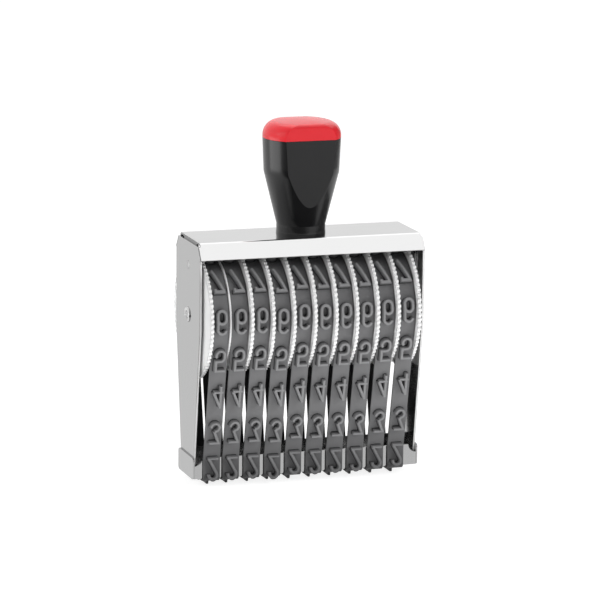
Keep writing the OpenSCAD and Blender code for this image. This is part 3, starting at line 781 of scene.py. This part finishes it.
# rings up the body: foot, neck, cone with even steps along the flat's edge, drafted grip
def bodyRings(s):
    neckZ, shoulderZ = roofZ + s["neckH"], roofZ + s["shoulderH"]
    slope = (shoulderZ - neckZ) / (s["shoulderR"] - s["neckR"])
    widest = math.sqrt(s["shoulderR"] ** 2 - s["flat"] ** 2)
    coneSteps, edgeSteps, sideSteps = s["coneSteps"], s["edgeSteps"], s["sideSteps"]
    cone = [s["neckR"] + (s["flat"] - s["neckR"]) * i / coneSteps for i in range(coneSteps)]
    cone += [math.hypot(s["flat"], widest * i / edgeSteps) for i in range(edgeSteps + 1)]
    grip = [(s["shoulderR"] + (s["topR"] - s["shoulderR"]) * i / sideSteps,
             shoulderZ + (seamZ - shoulderZ) * i / sideSteps) for i in range(1, sideSteps)]
    footZ = roofZ + s["footH"]
    rings = [(s["footR"], roofZ), (s["footR"], footZ - s["footStep"]), (s["neckR"], footZ)]
    rings += [(r, neckZ + (r - s["neckR"]) * slope) for r in cone] + grip
    rings += [(s["topR"], seamZ - s["seamBreak"]), (s["topR"] - s["seamBreak"], seamZ)]
    return [(r, r, s["flat"], z) for r, z in rings]


# rings up the cap: straight side, rounded edge (large at the sides, small at the front), shallow crown
def capRings(s):
    top = capTop - s["crown"]
    edgeZ = top - s["edgeR"]
    rings = [(s["r"] - s["seamBreak"],) * 2 + (s["flat"] - s["seamBreak"], seamZ),
             (s["r"], s["r"], s["flat"], seamZ + s["seamBreak"])]
    for i in range(s["edgeSteps"] + 1):
        a = math.radians(s["edgeTurn"]) * i / s["edgeSteps"]
        inset, z = s["edgeR"] * (1 - math.cos(a)), edgeZ + s["edgeR"] * math.sin(a)
        under = max(0.0, s["frontEdgeR"] - (top - z))
        front = s["frontEdgeR"] - math.sqrt(s["frontEdgeR"] ** 2 - under ** 2)
        rings.append((s["r"] - inset, s["r"] - inset * s["cornerShare"], s["flat"] - front, z))
    sideR, cornerR, flat, z = rings[-1]
    for i in range(1, s["crownSteps"] + 1):
        left = 1 - min(i / s["crownSteps"], s["crownEnd"])
        rings.append((sideR * left, cornerR * left, flat * left, z + (capTop - z) * (1 - left ** 2)))
    return rings


gripBody = gripMesh("gripBody", bodyRings(gripSet), gripSet)
gripCap = gripMesh("gripCap", capRings(capSet), capSet)
addPiece("gripBody", gripBody, blackAbs, "frame", "handle_body")
addPiece("gripCap", gripCap, redAbs, "frame", "handle_cap")
for node, material in (("threaded_insert", turnedBrass), ("axle_spacer", whiteAbs)):
    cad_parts[node].data.materials.clear()
    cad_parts[node].data.materials.append(material)
print("grip made")


# floor, light and background
stageSet = {"floorSize": 6.0, "worldFill": 0.22, "frontGloss": 0.6, "floorGlow": 1.67, "floorGloss": 0.8,
            "floorLift": 0.5, "sunAngle": 35}  # a sun as soft as a large softbox, even over the whole floor
cardSet = {"lift": 0.001, "frontTone": "#0a0a0a", "rightTone": "#8c8c8c",
           "front": [(-0.6, -0.8), (0.04, -0.8), (0.04, -0.55), (0.11, -0.48), (0.14, -0.3), (0.14, -0.075),
                     (-0.55, -0.075)],
           "right": [(0.5, -0.35), (0.5, 0.5)], "rightTop": 0.4}
# place, aim and size in metres, power in watts; a lamp with no size is a sun, in watts per square metre
lampSet = {
    "keyLight": {"place": (0.64, -0.66, 0.6), "aim": (0, 0, 0.06), "power": 1.22, "glossy": False},
    "leftLight": {"place": (-0.85, -0.28, 0.4), "aim": (0, 0, 0.06), "power": 0.92, "glossy": False},
    "tableBounce": {"place": (0.34, -0.245, 0.004), "aim": (0.34, -0.245, 1), "size": (0.9, 0.43),
                    "power": 1.95, "glossy": False},
    "capLight": {"place": (0.03, 0.08, 0.36), "aim": (0, 0, 0.13), "size": (0.15, 0.15), "power": 0.42,
                 "glossy": False},
    "capSide": {"place": (-0.13, 0.0, 0.17), "aim": (-0.008, 0, 0.1305), "size": (0.05, 0.05), "power": 0.004,
                "glossy": False, "spread": 40},
    "rearRim": {"place": (-0.085, 0.06, 0.063), "aim": (-0.042, 0.0195, 0.063), "size": (0.02, 0.05),
                "power": 0.002, "glossy": False, "spread": 40},
    "topSoftbox": {"place": (0.25, 0.1, 0.9), "aim": (0.25, 0.1, 0), "size": (0.9, 1.7), "power": 4.8,
                   "diffuse": False},
    "leftStrip": {"place": (-0.38, 0.115, 0.045), "aim": (0, 0.115, 0.045), "size": (0.33, 0.09),
                  "power": 0.16}}


# one flat sheet of the stage
def addSheet(name, corners, material):
    mesh = bpy.data.meshes.new(name)
    mesh.from_pydata(corners, [], [tuple(range(len(corners)))])
    mesh.materials.append(material)
    sheet = bpy.data.objects.new(name, mesh)
    scene.collection.objects.link(sheet)
    return sheet


# pale floor: the camera sees it lifted to white with a light shadow, reflections see it evenly pale
def makeFloor(s):
    half = s["floorSize"] / 2
    material, tree = newMaterial("paleFloor")
    path = addNode(tree, "ShaderNodeLightPath")
    share = addNode(tree, "ShaderNodeMath", settings={"operation": "MULTIPLY_ADD"},
                    values={1: s["floorLift"]},
                    links={0: path.outputs["Is Camera Ray"], 2: path.outputs["Is Glossy Ray"]})
    strength = addNode(tree, "ShaderNodeMapRange",
                       values={"To Min": s["floorGlow"], "To Max": s["floorGloss"]},
                       links={"Value": path.outputs["Is Glossy Ray"]})
    pale = addNode(tree, "ShaderNodeBsdfDiffuse", values={"Color": linear("#f4f4f4")})
    glow = addNode(tree, "ShaderNodeEmission", links={"Strength": strength.outputs["Result"]})
    both = addNode(tree, "ShaderNodeMixShader",
                   links={0: share.outputs[0], 1: pale.outputs[0], 2: glow.outputs[0]})
    closeMaterial(tree, both)
    addSheet("paleFloor", [(-half, -half, 0), (half, -half, 0), (half, half, 0), (-half, half, 0)], material)


# card that only reflections see: the front one darkens the grip's cone, the right one its right side
def addCard(name, corners, colour):
    material, tree = newMaterial(name)
    closeMaterial(tree, addNode(tree, "ShaderNodeBsdfDiffuse", values={"Color": linear(colour)}))
    card = addSheet(name, corners, material)
    for way in ("camera", "diffuse", "transmission", "volume_scatter", "shadow"):
        setattr(card, "visible_" + way, False)


def makeCards(s):
    lift, top = s["lift"], s["rightTop"]
    addCard("frontCard", [(x, y, lift) for x, y in s["front"]], s["frontTone"])
    wall = [(x, y, lift) for x, y in s["right"]] + [(x, y, top) for x, y in reversed(s["right"])]
    addCard("rightCard", wall, s["rightTone"])


def makeWorld(s):
    world = bpy.data.worlds.new("paleStudio")
    scene.world = world
    world.use_nodes = True
    tree = world.node_tree
    tree.nodes.clear()
    path = addNode(tree, "ShaderNodeLightPath")
    coords = addNode(tree, "ShaderNodeTexCoord")
    way = addNode(tree, "ShaderNodeSeparateXYZ", links={0: coords.outputs["Generated"]})
    gloss = addNode(tree, "ShaderNodeMapRange",  # reflections see a dimmer room in front than behind
                    values={"From Min": -0.3, "From Max": 0.2, "To Min": s["frontGloss"], "To Max": 1.0},
                    links={"Value": way.outputs["Y"]})
    mirrored = addNode(tree, "ShaderNodeMapRange", values={"To Min": s["worldFill"]},
                       links={"Value": path.outputs["Is Glossy Ray"], "To Max": gloss.outputs["Result"]})
    straight = addNode(tree, "ShaderNodeMath", settings={"operation": "MAXIMUM"},
                       links={0: path.outputs["Is Camera Ray"], 1: path.outputs["Is Transmission Ray"]})
    strength = addNode(tree, "ShaderNodeMapRange", values={"To Max": 1.0},
                       links={"Value": straight.outputs[0], "To Min": mirrored.outputs["Result"]})
    back = addNode(tree, "ShaderNodeBackground", values={"Color": (1, 1, 1, 1)},
                   links={"Strength": strength.outputs["Result"]})
    addNode(tree, "ShaderNodeOutputWorld", links={"Surface": back.outputs[0]})


def addLamp(name, place, aim, power, size=None, glossy=True, diffuse=True, spread=180):
    data = bpy.data.lights.new(name, "AREA" if size else "SUN")
    if size:
        data.shape = "RECTANGLE"
        data.size, data.size_y = size
        data.spread = math.radians(spread)
    else:
        data.angle = math.radians(stageSet["sunAngle"])
    data.energy = power
    lamp = bpy.data.objects.new(name, data)
    scene.collection.objects.link(lamp)
    place, aim = Vector(place), Vector(aim)
    turn = (place - aim).to_track_quat("Z", "Y").to_matrix().to_4x4()
    lamp.matrix_world = Matrix.Translation(place) @ turn
    lamp.visible_camera = False
    lamp.visible_glossy = glossy
    lamp.visible_diffuse = diffuse


makeFloor(stageSet)
makeWorld(stageSet)
makeCards(cardSet)
for name, settings in lampSet.items():
    addLamp(name, **settings)
scene.view_settings.view_transform = "Standard"
print("stage made")
